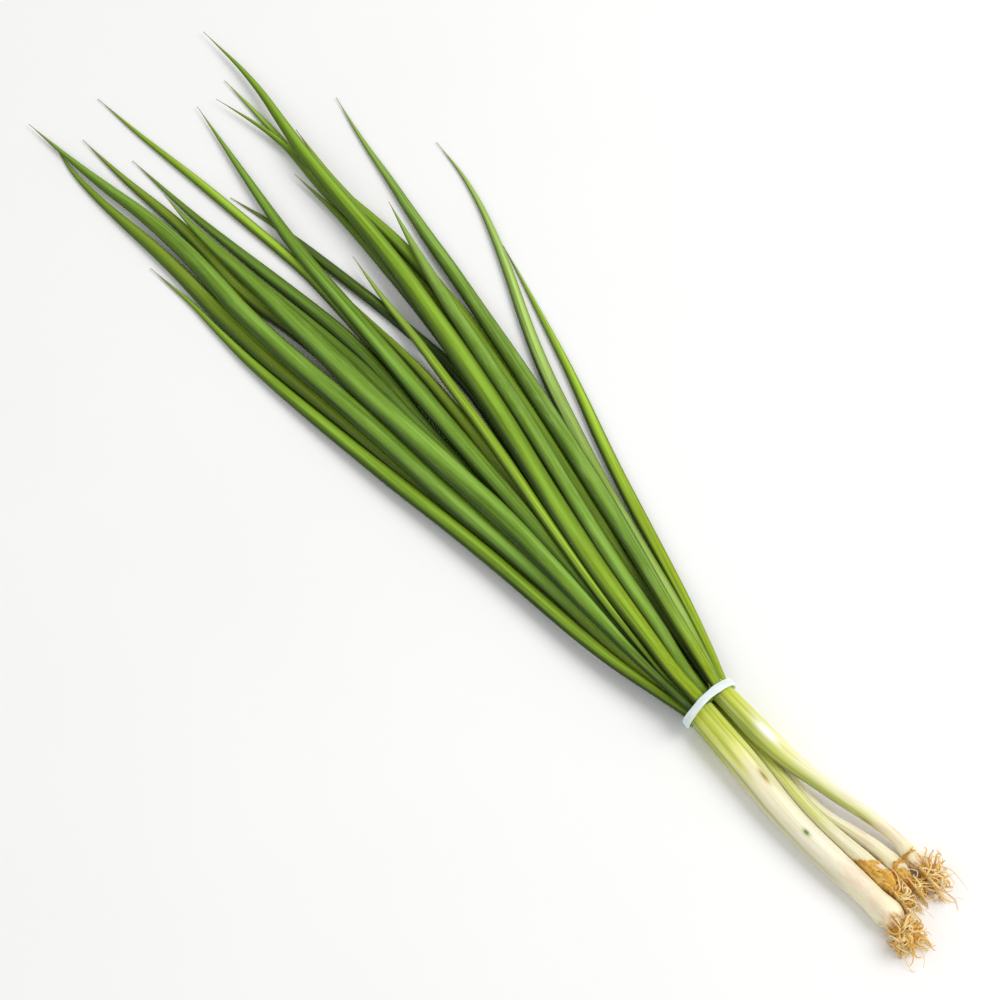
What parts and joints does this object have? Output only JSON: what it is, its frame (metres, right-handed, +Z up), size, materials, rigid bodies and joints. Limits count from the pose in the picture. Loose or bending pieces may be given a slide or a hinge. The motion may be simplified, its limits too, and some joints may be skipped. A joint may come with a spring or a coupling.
{
  "type": "spring onion bunch",
  "caption": "Bunch of thin spring onions lying on its side: pale shafts with fibrous roots, a flat rubber band at the neck, and long pointed hollow leaves fanning out.",
  "frame": {"origin": "on the surface that the bunch lies on, below the middle of its outline", "axes": "+X along the bunch from the roots to the leaf tips, +Y across it, +Z up"},
  "size_m": [0.3812, 0.0998, 0.0123],
  "materials": {
    "leaf": "satin, waxy",
    "shaft": "satin, moist",
    "roots": "matte, dry",
    "rubber_band": "matte"
  },
  "bodies": {
    "root": {"onion_1_leaf_1": "leaf", "onion_1_leaf_2": "leaf", "onion_1_leaf_3": "leaf", "onion_2_leaf_1": "leaf", "onion_2_leaf_2": "leaf", "onion_2_leaf_3": "leaf", "onion_2_leaf_4": "leaf", "onion_1_leaf_4": "leaf", "onion_1_leaf_5": "leaf", "onion_2_leaf_5": "leaf", "onion_3_leaf_1": "leaf", "onion_1_leaf_6": "leaf", "onion_3_leaf_2": "leaf", "onion_3_leaf_3": "leaf", "onion_3_leaf_4": "leaf", "onion_4_leaf_1": "leaf", "onion_3_leaf_5": "leaf", "onion_4_leaf_2": "leaf", "onion_4_leaf_3": "leaf", "onion_4_leaf_4": "leaf", "onion_4_leaf_5": "leaf", "onion_4_leaf_6": "leaf", "onion_4_leaf_7": "leaf", "onion_1_shaft": "shaft", "onion_2_shaft": "shaft", "onion_3_shaft": "shaft", "onion_4_shaft": "shaft", "onion_1_roots": "roots", "onion_2_roots": "roots", "onion_3_roots": "roots", "onion_4_roots": "roots", "rubber_band": "rubber_band"}
  },
  "joints": []
}
